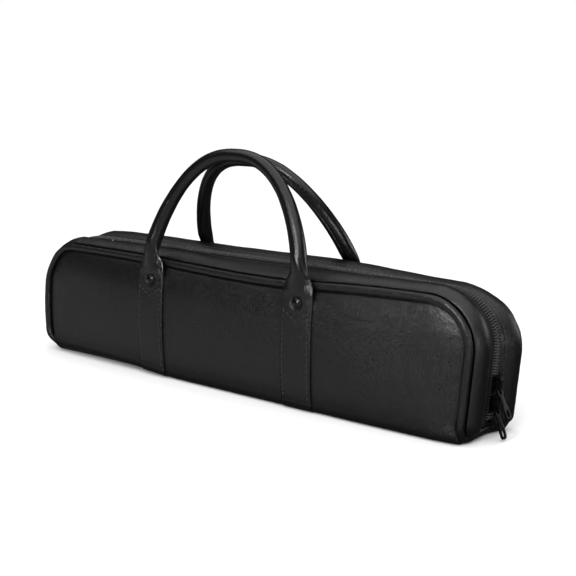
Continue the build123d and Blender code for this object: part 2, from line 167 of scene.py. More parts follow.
def fill_outline(e, low, columns, rows):
    """grid of (x, z) inside the outline moved by e, closer together towards its edges"""
    line = rim(e, low, 1.0)
    turn = next(i for i, p in enumerate(line) if p[3] > math.sqrt(0.5))
    line = [p[:2] for p in line]
    across = [i / columns - 0.8 / math.tau * math.sin(math.tau * i / columns) for i in range(columns + 1)]
    upward = [0.25 * i / rows + 0.75 * math.sin(math.pi / 2 * i / rows) for i in range(rows + 1)]
    left = spread(line[: turn + 1], upward)
    over = spread(line[turn : len(line) - turn], across)
    right = spread(line[len(line) - turn - 1 :][::-1], upward)
    under = spread([line[0], line[-1]], across)
    grid = []
    for t, a, b in zip(upward, left, right):
        row = []
        for s, c, d in zip(across, under, over):
            row.append(
                tuple(
                    (1 - t) * c[k] + t * d[k] + (1 - s) * a[k] + s * b[k]
                    - (1 - t) * ((1 - s) * under[0][k] + s * under[-1][k])
                    - t * ((1 - s) * over[0][k] + s * over[-1][k])
                    for k in (0, 1)
                )
            )
        grid.append(row)
    return grid


def make_piece(name, points, faces, material, moved=settle):
    """object from points in millimetres: doubles merged, faces turned outwards, shaded smooth"""
    mesh = bpy.data.meshes.new(name)
    if moved:
        points = [moved(*p) for p in points]
    mesh.from_pydata([tuple(c * 0.001 for c in p) for p in points], [], faces)
    work = bmesh.new()
    work.from_mesh(mesh)
    bmesh.ops.remove_doubles(work, verts=work.verts, dist=2e-5)
    bmesh.ops.dissolve_degenerate(work, dist=1e-6, edges=work.edges)
    bmesh.ops.recalc_face_normals(work, faces=work.faces)
    work.to_mesh(mesh)
    work.free()
    mesh.polygons.foreach_set("use_smooth", [True] * len(mesh.polygons))
    mesh.materials.append(material)
    piece = bpy.data.objects.new(name, mesh)
    bpy.context.collection.objects.link(piece)
    return piece


def net(rows, first=0):
    """faces of a grid of points given row by row"""
    wide = len(rows[0])
    return [
        (first + i * wide + j, first + i * wide + j + 1, first + (i + 1) * wide + j + 1, first + (i + 1) * wide + j)
        for i in range(len(rows) - 1)
        for j in range(wide - 1)
    ]


def corner_wrap(z):
    """how far the panel's lower corners reach round the ends of the case: 1 at the floor, 0 above the roll's bend"""
    return smooth((17 - z) / 14)


def edge_height(d):
    """share of the panel's full depth reached d inside its border: a thin flat edge, then a round shoulder"""
    t = min(1.0, max(0.0, (d - GROOVE) / 2.6))
    return max(0.1 * smooth(d / 0.35), math.sqrt(1 - (1 - t) ** 2))


def padded_panel(name, side, heel, material):
    """crowned leather skin with a flat back against the board, and its lower edge turned under"""
    low, floor, steps = heel + 4.4, 0.45, 12
    outer, inner = [], []
    patch = fill_outline(PANEL_EDGE, low, 230, 54)
    for k in range(steps, 0, -1):
        rows = ([], [])
        for x0, z0 in patch[0]:
            deep = crown(x0, low, side)
            turn = min(1.0, k / (steps - 3)) * math.pi / 2
            y = deep - heel * (1 - math.cos(turn))
            z = floor + heel - heel * math.sin(turn) + (low - floor - heel) * (1 - min(1, k / 2))
            if k > steps - 3:
                y = deep - heel + (25.6 - deep + heel) * (k - steps + 3) / 3
            s = k / steps
            back = (BOARD_FACE - 4.1 * smooth((s - 0.25) / 0.75), max(2.3, low - (low - 2.3) * smooth(s * 1.6)))
            shrink = end_x(PANEL_EDGE, z) / end_x(PANEL_EDGE, low)
            d = (end_x(PANEL_EDGE, low) - abs(x0)) * math.cos(LEAN)
            full = edge_height(d)
            inner_y = back[0] - 14.0 * corner_wrap(z) * (1 - smooth((d - GROOVE) / 10))
            x = x0 * shrink + math.copysign(4.0 * corner_wrap(z) * smooth((abs(x0) - 150) / 50), x0)
            rows[0].append((x, side * (inner_y + (y - inner_y) * full), back[1] + (z - back[1]) * full))
            rows[1].append((x, side * inner_y, back[1]))
        outer.append(rows[0])
        inner.append(rows[1])
    for line in patch:
        rows = ([], [])
        for x, z in line:
            d = max(0.0, PANEL_EDGE - out_of_rim(x, z))
            full = edge_height(d)
            deep = crown(x, z, side) + 0.3 * math.exp(-(((d - GROOVE - 4) / 4) ** 2)) * wave(x, 0, z, 6, 11 + side)
            inner_y = BOARD_FACE - 14.0 * corner_wrap(z) * (1 - smooth((d - GROOVE) / 10))
            x += math.copysign(4.0 * corner_wrap(z) * smooth((abs(x) - 150) / 50), x)
            rows[0].append((x, side * (inner_y + (deep - inner_y) * full), z))
            rows[1].append((x, side * inner_y, z))
        outer.append(rows[0])
        inner.append(rows[1])
    points = [p for row in outer + inner for p in row]
    count, wide = len(outer) * len(outer[0]), len(outer[0])
    faces = net(outer) + net(inner, count)
    faces += [(j, j + 1, count + j + 1, count + j) for j in range(wide - 1)]
    return make_piece(name, points, faces, material)


class Wire:
    """an output of a node that can stand in a sum, difference, product or quotient"""

    def __init__(self, tree, socket):
        self.tree, self.socket = tree, socket

    def math(self, operation, first, second):
        return self.tree.node("ShaderNodeMath", {"operation": operation}, {0: first, 1: second})

    def __add__(self, other):
        return self.math("ADD", self, other)

    def __sub__(self, other):
        return self.math("SUBTRACT", self, other)

    def __rsub__(self, other):
        return self.math("SUBTRACT", other, self)

    def __mul__(self, other):
        return self.math("MULTIPLY", self, other)

    def __truediv__(self, other):
        return self.math("DIVIDE", self, other)

    def __rtruediv__(self, other):
        return self.math("DIVIDE", other, self)

    def __pow__(self, other):
        return self.math("POWER", self, other)

    def __abs__(self):
        return self.math("ABSOLUTE", self, 0.0)

    __radd__, __rmul__ = __add__, __mul__


class Tree:
    """adds nodes to a shader or geometry tree: a type, its settings, and its sockets' values or wires"""

    def __init__(self, tree):
        self.tree = tree

    def node(self, kind, settings=None, inputs=None, out=0):
        made = self.tree.nodes.new(kind)
        for key, value in (settings or {}).items():
            if key == "stops":
                ramp = made.color_ramp
                while len(ramp.elements) < len(value):
                    ramp.elements.new(0.5)
                for element, (place, grey) in zip(ramp.elements, value):
                    element.position, element.color = place, (grey, grey, grey, 1)
            else:
                setattr(made, key, value)
        for key, value in (inputs or {}).items():
            if isinstance(value, Wire):
                self.tree.links.new(value.socket, made.inputs[key])
            else:
                made.inputs[key].default_value = value
        return Wire(self, made.outputs[out]) if len(made.outputs) else made

    def noise(self, at, scale, detail=2.0, rough=0.5, warp=0.0):
        sockets = {"Vector": at, "Scale": scale, "Detail": detail, "Roughness": rough, "Distortion": warp}
        return self.node("ShaderNodeTexNoise", None, sockets)

    def ramp(self, value, *stops):
        return self.node("ShaderNodeValToRGB", {"stops": stops}, {0: value})

    def blend(self, share, first, second):
        inputs = {0: share}
        for key, colour in ((6, first), (7, second)):
            inputs[key] = colour if isinstance(colour, Wire) else (*colour, 1.0)
        return self.node("ShaderNodeMix", {"data_type": "RGBA"}, inputs, 2)


def finish_surface(name, paint, constants, varying):
    """material with a Principled shader: constants on its own sockets, varying ones from wires made by paint"""
    material = bpy.data.materials.new(name)
    material.use_nodes = True
    tree = material.node_tree
    tree.nodes.clear()
    work = Tree(tree)
    wires = paint(work)
    shader = tree.nodes.new("ShaderNodeBsdfPrincipled")
    for key, value in constants.items():
        shader.inputs[key].default_value = value
    for key in varying:
        tree.links.new(wires[key].socket, shader.inputs[key])
    output = tree.nodes.new("ShaderNodeOutputMaterial")
    tree.links.new(shader.outputs[0], output.inputs[0])
    return material


def leather(name, dark, light, dull=0.29, grain=1.0, creases=1.0):
    """grained faux leather: pebbles with fine valleys, a few long creases, soft uneven gloss"""

    def paint(work):
        place = work.node("ShaderNodeTexCoord", None, None, "Object")
        drift = work.node(
            "ShaderNodeVectorMath",
            {"operation": "MULTIPLY_ADD"},
            {0: work.node("ShaderNodeTexNoise", None, {"Vector": place, "Scale": 700.0}, "Color"),
             1: (0.0006,) * 3, 2: place},
        )
        valley = work.node(
            "ShaderNodeTexVoronoi", {"feature": "DISTANCE_TO_EDGE"}, {"Vector": drift, "Scale": 1150.0}, "Distance"
        )
        pebble = work.ramp(valley, (0.0, 0.0), (0.12, 0.75), (0.4, 1.0))
        fine = work.noise(place, 4200.0, 3.0)
        wrinkle = work.node(
            "ShaderNodeTexVoronoi", {"feature": "DISTANCE_TO_EDGE"},
            {"Vector": work.node("ShaderNodeVectorMath", {"operation": "MULTIPLY_ADD"},
                                 {0: work.node("ShaderNodeTexNoise", None, {"Vector": place, "Scale": 260.0}, "Color"),
                                  1: (0.0022,) * 3, 2: place}), "Scale": 330.0}, "Distance")
        furrow = work.ramp(wrinkle, (0.0, 0.0), (0.16, 0.85), (0.5, 1.0))
        fold = work.noise(place, 95.0, 3.0, 0.55, 0.6)
        line = 1 - abs(fold * 2 - 1)
        crease = line ** 9 * work.ramp(work.noise(place, 22.0), (0.45, 0.0), (0.7, 1.0))
        broad = work.noise(place, 38.0, 2.0)
        height = pebble * (0.4 * grain) + fine * (0.15 * grain) + furrow * (0.5 * grain) - crease * creases + broad * 0.15
        bump = work.node("ShaderNodeBump", None, {"Strength": 0.65, "Distance": 0.0002, "Height": height})
        cloud = work.noise(place, 30.0, 3.0)
        return {
            "Base Color": work.blend(pebble * 0.5 + cloud * 0.6, dark, light),
            "Roughness": dull + (cloud - 0.5) * 0.06 - pebble * 0.05,
            "Normal": bump,
        }

    return finish_surface(name, paint, {"IOR": 1.5, "Specular IOR Level": 0.5}, ("Base Color", "Roughness", "Normal"))


panel_leather = leather("panel_leather", (0.0019, 0.0019, 0.0018), (0.0042, 0.0041, 0.0039), creases=0.35)
front_panel = padded_panel("front_panel", -1, 4.8, panel_leather)
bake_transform(front_panel)
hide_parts("front_cover", "front_foam")

# ====================================================================== rolled edges
# A soft leather roll runs round each panel between two seam grooves. At its feet it turns under the end of
# the case and meets the roll that closes the bottom edge there.
ROLL_Y, ROLL_E, ROLL_BEND = 30.8, -3.2, 10.5


def loft(sections):
    """points and faces through closed sections of equal count, both ends closed"""
    wide = len(sections[0])
    points = [p for section in sections for p in section]
    faces = [
        (i * wide + j, i * wide + (j + 1) % wide, (i + 1) * wide + (j + 1) % wide, (i + 1) * wide + j)
        for i in range(len(sections) - 1)
        for j in range(wide)
    ]
    for first in (0, (len(sections) - 1) * wide):
        end = points[first : first + wide]
        points.append(tuple(sum(p[k] for p in end) / wide for k in range(3)))
        faces += [(first + j, first + (j + 1) % wide, len(points) - 1) for j in range(wide)]
    return points, faces


def ring(centre, first, second, wide, deep, count=18, swell=None, square=0.72):
    """closed section round centre, wide along first and deep along second, squarer than an ellipse"""
    made = []
    for k in range(count):
        a = math.tau * k / count
        c, s = (math.copysign(abs(v) ** square, v) for v in (math.cos(a), math.sin(a)))
        p = [centre[i] + first[i] * wide * c + second[i] * deep * s for i in range(3)]
        if swell:
            f = swell(*p)
            p = [centre[i] + (p[i] - centre[i]) * f for i in range(3)]
        made.append(tuple(p))
    return made


def rolled_edge(name, side, material):
    """roll along the rim whose feet turn under the ends"""

    def puckered(x, y, z):
        return 1 + 0.07 * wave(x, y, z, 4.5, 2) + 0.05 * wave(x, y, z, 13, 8)

    line = rim(ROLL_E, 3.7 + ROLL_BEND, 2.0)
    sections = []
    for end, (x, z, nx, nz) in ((-1, line[0]), (1, line[-1])):
        foot = []
        for y in (11.0, 14.0, 17.0):
            foot.append((y, 3.7, 0.0))
        for k in range(10):
            a = math.pi / 2 * k / 9
            foot.append((ROLL_Y - ROLL_BEND * (1 - math.sin(a)), 3.7 + ROLL_BEND * (1 - math.cos(a)), a))
        made = []
        for y, height, a in foot:
            mid = (end * end_x(ROLL_E, height), side * y, height)
            across = (0, side * math.sin(a), -math.cos(a))
            made.append(ring(mid, (nx, 0, nz), across, 2.6, 2.5 + 0.4 * math.cos(a), swell=puckered))
        sections.append(made)
    middle = []
    for x, z, nx, nz in line[1:-1]:
        middle.append(ring((x, side * ROLL_Y, z), (nx, 0, nz), (0, side, 0), 2.6, 2.5, swell=puckered))
    return make_piece(name, *loft(sections[0] + middle + sections[1][::-1]), material)


roll_leather = leather("roll_leather", (0.0019, 0.0019, 0.0018), (0.0042, 0.0041, 0.0039), dull=0.2, creases=1.2)
front_roll = rolled_edge("front_roll", -1, roll_leather)
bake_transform(front_roll)
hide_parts("front_piping")
rear_roll = rolled_edge("rear_roll", 1, roll_leather)
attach(rear_roll, "rear_half")
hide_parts("rear_piping")
for end, node in ((-1, "end_welt_left"), (1, "end_welt_right")):
    sections = [
        ring((end * end_x(ROLL_E, 3.7), y, 3.7), (1, 0, 0), (0, 0, -1), 2.9, 2.9,
             swell=lambda x, y, z: 1 + 0.05 * wave(x, y, z, 5, 2))
        for y in range(-19, 20, 2)
    ]
    end_roll = make_piece(node + "_roll", *loft(sections), roll_leather)
    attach(end_roll, "rear_half")
    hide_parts(node)

# ====================================================================== gussets
# Two convex strips of the same leather bridge from the rolled edges to the zip, round three sides of the
# case. Beside the zip each is folded back on itself and top-stitched.
GUSSET_LOW = 3.2
ZIP_EDGE = {-1: 10.2, 1: 5.8}  # how far each strip's folded edge stays from the middle of the zip


def tuck(z):
    """how far the strips draw in above their sewn lower ends"""
    return 4.4 * (1 - smooth((z - 2) / 9))


def gusset_rise(y):
    """height of the strip above the groove outline, y away from the middle plane"""
    rise = 4.8 - 0.0327 * (y - 17.25) ** 2 if y > 17.25 else 4.8 - 0.0296 * (y - 17.25) ** 2
    fold = 0.35 * smooth((11.0 - y) / 2.5) - 0.3 * math.exp(-(((y - 8.6) / 0.7) ** 2))
    return rise + fold


def gusset_y(y, side, widest=28.9):
    """y of a point of the strip's section, which is drawn for an inner edge at 6.3"""
    inner = ZIP_EDGE[side]
    return inner + (y - 6.3) * (widest - inner) / 22.6


def gusset(name, side, material):
    sections = []
    for x, z, nx, nz in rim(0.0, GUSSET_LOW, 2.0):
        outline = []
        for k in range(24):
            y = 6.3 + 22.4 * k / 23
            ease = math.exp(-(((y - 26) / 4.5) ** 2))
            pucker = 0.3 * ease * wave(x, 0, z, 5, 6) + 0.28 * wave(x, y, z, 24, 9)
            outline.append((y, gusset_rise(y) + pucker))
        outline += [(28.9, -0.4), (28.2, -1.3)]
        outline += [(y, gusset_rise(y) - 1.5) for y in (24.0, 19.0, 14.0, 11.0, 8.0)]
        outline += [(6.5, 0.6), (6.05, 0.72), (5.92, 0.95), (6.0, 1.3)]
        section = []
        bend = 3.7 + ROLL_BEND - z
        widest = ROLL_Y - 2.7 - (ROLL_BEND - math.sqrt(max(0.0, ROLL_BEND**2 - bend**2)) if bend > 0 else 0.0)
        for y, e in outline:
            e -= tuck(z)
            section.append((x + nx * e, side * gusset_y(y, side, widest), z + nz * e))
        sections.append(section)
    return make_piece(name, *loft(sections), material)


gusset_leather = leather("gusset_leather", (0.0019, 0.0019, 0.0018), (0.0042, 0.0041, 0.0039), dull=0.27, creases=0.8)
for side, body, half in ((-1, "front_half", "front"), (1, "rear_half", "rear")):
    strip = gusset(half + "_gusset_strip", side, gusset_leather)
    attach(strip, body)
    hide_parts(half + "_gusset")

# ====================================================================== zip
# A nylon coil zip: two woven tapes sewn under the gussets' folded edges, each with a row of coil teeth
# along its edge. The two rows lock into each other over the top and both ends.
TAPE_IN, TAPE_OUT, TOOTH_E, TOOTH_PITCH = 1.0, 13.2, 1.15, 1.9


def zip_tape(name, side, material):
    sections = []
    for x, z, nx, nz in rim(0.0, GUSSET_LOW, 2.5):
        outline = [(TAPE_IN, 0.0), (TAPE_IN + 0.3, 0.4), (3.0, 0.55), (6.0, 0.55), (9.0, 0.55), (TAPE_OUT, 0.5), (TAPE_OUT, -0.1)]
        outline += [(5.0, -0.2), (TAPE_IN + 0.3, -0.2)]
        section = []
        for y, e in outline:
            e += 0.1 * wave(x, y, z, 12, 4) - tuck(z)
            section.append((x + nx * e, side * y, z + nz * e))
        sections.append(section)
    return make_piece(name, *loft(sections), material)


def zip_weave(work):
    """fine herringbone weave along and across the tape"""
    place = work.node("ShaderNodeTexCoord", None, None, "Object")
    weave = work.node("ShaderNodeTexWave", {"wave_type": "BANDS", "bands_direction": "DIAGONAL"},
                      {"Vector": place, "Scale": 520.0, "Distortion": 1.5, "Detail": 1.0}, "Fac")
    cross = work.node("ShaderNodeTexWave", {"wave_type": "BANDS", "bands_direction": "Y"},
                      {"Vector": place, "Scale": 330.0, "Distortion": 0.5}, "Fac")
    fuzz = work.noise(place, 1500.0, 3.0)
    height = weave * 0.6 + cross * 0.5 + fuzz * 0.3
    return {
        "Base Color": work.blend(height * 0.6, (0.003, 0.003, 0.0032), (0.009, 0.009, 0.0095)),
        "Roughness": 0.78 + fuzz * 0.15,
        "Normal": work.node("ShaderNodeBump", None, {"Strength": 0.7, "Distance": 0.0002, "Height": height}),
    }


tape_cloth = finish_surface("tape_cloth", zip_weave, {"Specular IOR Level": 0.3},
                            ("Base Color", "Roughness", "Normal"))


def nylon(work):
    """moulded nylon with faint drawing marks"""
    place = work.node("ShaderNodeTexCoord", None, None, "Object")
    marks = work.noise(place, 900.0, 2.0)
    return {
        "Base Color": work.blend(marks, (0.03, 0.03, 0.0315), (0.06, 0.06, 0.063)),
        "Roughness": 0.22 + marks * 0.1,
        "Normal": work.node("ShaderNodeBump", None, {"Strength": 0.15, "Distance": 0.00008, "Height": marks}),
    }


tooth_nylon = finish_surface("tooth_nylon", nylon, {"IOR": 1.52}, ("Base Color", "Roughness", "Normal"))


def geometry_tree(name, sizes):
    """empty Geometry Nodes tree with named number inputs; returns the tree, its input wires and its output node"""
    group = bpy.data.node_groups.new(name, "GeometryNodeTree")
    group.interface.new_socket("Geometry", in_out="INPUT", socket_type="NodeSocketGeometry")
    for label, value in sizes.items():
        group.interface.new_socket(label, in_out="INPUT", socket_type="NodeSocketFloat").default_value = value
    group.interface.new_socket("Material", in_out="INPUT", socket_type="NodeSocketMaterial")
    group.interface.new_socket("Geometry", in_out="OUTPUT", socket_type="NodeSocketGeometry")
    tree = Tree(group)
    source = group.nodes.new("NodeGroupInput")
    wires = {socket.name: Wire(tree, socket) for socket in source.outputs if socket.name}
    return group, tree, wires, group.nodes.new("NodeGroupOutput")


def repeat(tree, wires, group, output, points, along, shape):
    """ends a tree: the shape on every point, x along and z outwards, made real and given its material"""
    out = tree.node("GeometryNodeInputNamedAttribute", {"data_type": "FLOAT_VECTOR"}, {"Name": "outward"})
    facing = tree.node("FunctionNodeAxesToRotation", {"primary_axis": "Z", "secondary_axis": "X"}, {0: out, 1: along})
    placed = tree.node("GeometryNodeInstanceOnPoints", None, {"Points": points, "Instance": shape, "Rotation": facing})
    real = tree.node("GeometryNodeRealizeInstances", None, {0: placed})
    smoothed = tree.node("GeometryNodeSetShadeSmooth", None, {0: real})
    done = tree.node("GeometryNodeSetMaterial", None, {"Geometry": smoothed, "Material": wires["Material"]})
    group.links.new(done.socket, output.inputs[0])
    return group


def along_lines(tree, wires):
    """points a Pitch apart along the input lines, and the direction of the lines there"""
    curve = tree.node("GeometryNodeMeshToCurve", None, {"Mesh": wires["Geometry"]})
    dots = tree.tree.nodes.new("GeometryNodeCurveToPoints")
    dots.mode = "LENGTH"
    tree.tree.links.new(curve.socket, dots.inputs["Curve"])
    tree.tree.links.new(wires["Pitch"].socket, dots.inputs["Length"])
    return Wire(tree, dots.outputs["Points"]), Wire(tree, dots.outputs["Tangent"])


def tooth_tree():
    """one turn of coil: a wire loop that rises from the tape, crosses it and swells into a head"""
    sizes = {"Pitch": TOOTH_PITCH * 0.001, "Reach": 0.0038, "Height": 0.0015, "Wire": 0.00042}
    group, tree, wires, output = geometry_tree("coil_turn", sizes)
    point = lambda x, y, z: tree.node("ShaderNodeCombineXYZ", None, {0: x, 1: y, 2: z})
    arch = tree.node("GeometryNodeCurvePrimitiveBezierSegment", None, {
        "Resolution": 9,
        "Start": point(0.0, wires["Reach"], 0.0),
        "Start Handle": point(0.0, wires["Reach"] * 1.1, wires["Height"] * 1.2),
        "End Handle": point(wires["Wire"] * 0.5, 0.0, wires["Height"] * 1.3),
        "End": point(wires["Wire"] * 0.5, -0.0002, wires["Height"] * 0.1),
    })
    share = tree.node("GeometryNodeSplineParameter", None, None, "Factor")
    sized = tree.node("GeometryNodeSetCurveRadius", None, {"Curve": arch, "Radius": share * 0.55 + 0.9})
    profile = tree.node("GeometryNodeCurvePrimitiveCircle", None, {"Resolution": 7, "Radius": wires["Wire"]})
    turn = tree.node("GeometryNodeCurveToMesh", None, {"Curve": sized, "Profile Curve": profile, "Fill Caps": True})
    return repeat(tree, wires, group, output, *along_lines(tree, wires), turn)


def grow(name, lines, group, material, sizes=None):
    """plain mesh of a Geometry Nodes tree run on lines of (point, outward), both in millimetres"""
    mesh = bpy.data.meshes.new(name)
    points = [tuple(c * 0.001 for c in p) for line in lines for p, _ in line]
    edges, first = [], 0
    for line in lines:
        edges += [(first + i, first + i + 1) for i in range(len(line) - 1)]
        first += len(line)
    mesh.from_pydata(points, edges, [])
    facing = mesh.attributes.new("outward", "FLOAT_VECTOR", "POINT")
    facing.data.foreach_set("vector", [c for line in lines for _, n in line for c in n])
    piece = bpy.data.objects.new(name, mesh)
    bpy.context.collection.objects.link(piece)
    modifier = piece.modifiers.new("rows", "NODES")
    modifier.node_group = group
    for item in group.interface.items_tree:
        if item.in_out == "INPUT" and item.name in (sizes or {}):
            modifier[item.identifier] = sizes[item.name]
        if item.in_out == "INPUT" and item.name == "Material":
            modifier[item.identifier] = material
    bpy.context.view_layer.update()
    depsgraph = bpy.context.evaluated_depsgraph_get()
    result = bpy.data.meshes.new_from_object(piece.evaluated_get(depsgraph), depsgraph=depsgraph)
    piece.modifiers.clear()
    piece.data = result
    result.name = name
    if "outward" in result.attributes:
        result.attributes.remove(result.attributes["outward"])
    return piece


coil_turn = tooth_tree()
for side, body, half in ((-1, "front_half", "front"), (1, "rear_half", "rear")):
    tape = zip_tape(half + "_tape", side, tape_cloth)
    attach(tape, body)
    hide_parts(half + "_zip_tape")
    row = []
    start = 14.0 if side < 0 else 14.0 + TOOTH_PITCH / 2
    for x, z, nx, nz in rim(0.0, start, 1.0):
        row.append((settle(x + nx * TOOTH_E, side * 0.1, z + nz * TOOTH_E), (nx, 0.0, nz)))
    if side < 0:
        row = row[::-1]
    teeth = grow(half + "_teeth", [row], coil_turn, tooth_nylon)
    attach(teeth, body)
    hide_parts(half + "_coil")

# ====================================================================== back panel and bottom
# The back is made as the front is, with a rounder heel. A flat piece of leather over a stiff board closes the
# bottom between the two panels, with lapped seams that are sewn along both long sides.
back_panel = padded_panel("back_panel", 1, 7.0, panel_leather)
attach(back_panel, "rear_half")
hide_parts("back_cover", "back_foam")


def bottom_skin(name, material):
    """flat leather between the panels, its edges under their turned-in hems"""
    top, under = [], []
    for i in range(17):
        y = -27.0 + 54.0 * i / 16
        row = ([], [])
        for j in range(161):
            x = -204.0 + 408.0 * j / 160
            edge = min(204.0 - abs(x), 27.0 - abs(y))
            z = 0.75 + 0.12 * wave(x, y, 0, 30, 4) + 0.35 * math.exp(-(((27.0 - abs(y)) / 1.2) ** 2))
            row[0].append((x, y, 2.0))
            row[1].append((x, y, min(1.9, z + 0.6 * math.exp(-edge))))
        top.append(row[0])
        under.append(row[1])
    points = [p for row in top + under for p in row]
    count, wide = 17 * 161, 161
    faces = net(top) + net(under, count)
    border = list(range(wide)) + [i * wide + wide - 1 for i in range(1, 17)]
    border += [16 * wide + j for j in range(wide - 2, -1, -1)] + [i * wide for i in range(15, 0, -1)]
    faces += [(a, b, count + b, count + a) for a, b in zip(border, border[1:] + border[:1])]
    return make_piece(name, points, faces, material)


bottom = bottom_skin("bottom_leather", panel_leather)
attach(bottom, "rear_half")
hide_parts("bottom_cover")

# ====================================================================== straps
# Two straps of doubled leather run under the case and up both sides. Each is edge-stitched to the panels,
# and above its rivet it comes free and rolls up into the handle.
STRAP_X, STRAP_W, RIVET_Z, STRAP_END = 74.5, 27.0, 80.5, 90.0


def strap_face(x, z, side):
    """outer surface of the strap, away from the middle plane"""
    lift = 1.9 + 0.9 * smooth((z - 84) / 8)
    seat = 0.9 * math.exp(-((math.hypot(abs(x) - STRAP_X, z - RIVET_Z) / 4.6) ** 4))
    ring_fold = 0.35 * math.exp(-(((math.hypot(abs(x) - STRAP_X, z - RIVET_Z) - 6.4) / 0.9) ** 2))
    base = 33.5 + 4.0 * max(0.0, 1 - ((z - 48) / 47) ** 2) ** 0.8
    if z > 80:
        base = max(base, 35.6)
    soft = 0.16 * wave(x, 30 * side, z, 16, 7) + 0.3 * wave(x, 30 * side, z, 55, 3)
    return base + lift - seat + ring_fold + soft


def strap(name, x0, side, heel, material):
    """doubled strap with rounded edges; its lower end turns under the case"""
    low, floor = heel + 4.4, 0.08
    path = []
    inner = 0.0 if side > 0 else 25.0
    for y in ((0.0, 6.0, 12.0, 18.0, 23.0) if side > 0 else (24.5, 25.5)):
        path.append((y, floor, 0.0, -1.0))
    deep = strap_face(x0, low, side)
    for k in range(1, 13):
        a = math.pi / 2 * k / 12
        bend = heel + 1.6
        path.append((deep - bend + bend * math.sin(a), floor + bend - bend * math.cos(a), math.sin(a), -math.cos(a)))
    z = path[-1][1] + 1.0
    while z < STRAP_END:
        path.append((None, z, 1.0, 0.0))
        z += 0.8
    sections = []
    for y, z, ny, nz in path:
        section = []
        for k in range(25):
            u = -1 + 2 * k / 24
            x = x0 + u * (STRAP_W / 2 - 3.4 * smooth((z - 82) / 10))
            edge = 1 - abs(u)
            dip = 0.4 * max(0.0, 1 - edge / 0.05) ** 2 + 0.22 * math.exp(-(((edge - 0.17) / 0.035) ** 2))
            puff = 0.22 * (1 - u * u)
            if y is None:
                section.append((x, side * (strap_face(x, z, side) + puff - dip), z))
            else:
                section.append((x, side * (y - ny * dip), z - nz * dip))
        for k in range(6, -1, -1):
            u = -1 + 2 * k / 6
            x = x0 + u * (STRAP_W / 2 - 0.1 - 3.4 * smooth((z - 82) / 10))
            if y is None:
                section.append((x, side * (strap_face(x0, z, side) - 2.2), z))
            else:
                section.append((x, side * (y - ny * 2.0), z - nz * 2.0))
        sections.append(section)
    return make_piece(name, *loft(sections), material, lambda x, y, z: settle(x, y, z, False))


strap_leather = leather("strap_leather", (0.0019, 0.0019, 0.0018), (0.0042, 0.0041, 0.0039), dull=0.26, creases=0.7)
for x0, place in ((-STRAP_X, "left"), (STRAP_X, "right")):
    front_strap = strap(f"{place}_front_strap", x0, -1, 4.8, strap_leather)
    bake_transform(front_strap)
    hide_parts(f"strap_{place}_front")
    rear_strap = strap(f"{place}_rear_strap", x0, 1, 7.0, strap_leather)
    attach(rear_strap, "rear_half")
    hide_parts(f"strap_{place}_rear")

# ====================================================================== rivets
# A domed gunmetal rivet with a rolled rim fixes each strap to its panel, just below the place where the
# strap comes free. The back of the case has the same pair.
def rivet_tree():
    """squashed dome on a rolled rim"""
    sizes = {"Radius": 0.0043, "Height": 0.0021, "Rim": 0.00055}
    group, tree, wires, output = geometry_tree("rivet_cap", sizes)
    row = lambda x, y, z: tree.node("ShaderNodeCombineXYZ", None, {0: x, 1: y, 2: z})
    ball = tree.node("GeometryNodeMeshUVSphere", None, {"Segments": 40, "Rings": 20, "Radius": 1.0})
    inner = wires["Radius"] - wires["Rim"] * 1.5
    dome = tree.node("GeometryNodeTransform", None, {"Geometry": ball, "Scale": row(inner, inner, wires["Height"])})
    path = tree.node("GeometryNodeCurvePrimitiveCircle", None, {"Resolution": 48, "Radius": wires["Radius"] - wires["Rim"]})
    bead = tree.node("GeometryNodeCurvePrimitiveCircle", None, {"Resolution": 12, "Radius": wires["Rim"]})
    rim_bead = tree.node("GeometryNodeCurveToMesh", None, {"Curve": path, "Profile Curve": bead})
    raised = tree.node("GeometryNodeTransform", None, {"Geometry": rim_bead, "Translation": row(0.0, 0.0, wires["Rim"] * 0.9)})
    join = tree.tree.nodes.new("GeometryNodeJoinGeometry")
    for part in (dome, raised):
        tree.tree.links.new(part.socket, join.inputs[0])
    return repeat(tree, wires, group, output, wires["Geometry"], row(1.0, 0.0, 0.0), Wire(tree, join.outputs[0]))


def plated(work):
    """dark plated metal with fine polishing marks and duller patches"""
    place = work.node("ShaderNodeTexCoord", None, None, "Object")
    marks = work.noise(place, 2600.0, 2.0)
    patch = work.noise(place, 240.0, 3.0)
    return {
        "Base Color": work.blend(patch, (0.03, 0.03, 0.032), (0.07, 0.07, 0.074)),
        "Roughness": 0.06 + patch * 0.08 + marks * 0.05,
        "Normal": work.node("ShaderNodeBump", None, {"Strength": 0.12, "Distance": 0.00005, "Height": marks}),
    }


gunmetal = finish_surface("gunmetal_plate", plated, {"Metallic": 1.0}, ("Base Color", "Roughness", "Normal"))
rivet_cap = rivet_tree()
for side, body, half in ((-1, "front_half", "front"), (1, "rear_half", "rear")):
    spots = [[((x0, side * 37.5, RIVET_Z), (0.0, side, 0.0))] for x0 in (-STRAP_X, STRAP_X)]
    rivets = grow(half + "_rivets", spots, rivet_cap, gunmetal)
    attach(rivets, body)
    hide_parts(half + "_rivet_left", half + "_rivet_right")

# ====================================================================== handles
# Above each rivet the strap rolls up round a cord into a tube, sewn shut along its back. The two tubes
# arch over the case and lean together until they nearly touch.
TUBE, HINGE_Y, HINGE_Z, FOOT_LOW = 5.0, 37.4, 92.5, 84.0
HANDLES = {  # name: side, body, lean, y of the arch's base, rise of the arch
    "front_handle": (-1, "front_half", 11.5, 35.9, 80.6),
    "rear_handle": (1, "rear_half", 27.5, 30.9, 85.2),
}


def rolled(z):
    """how far the strap has rolled up at height z: 0 flat, 1 a closed tube"""
    return smooth((z - 82.5) / 31)


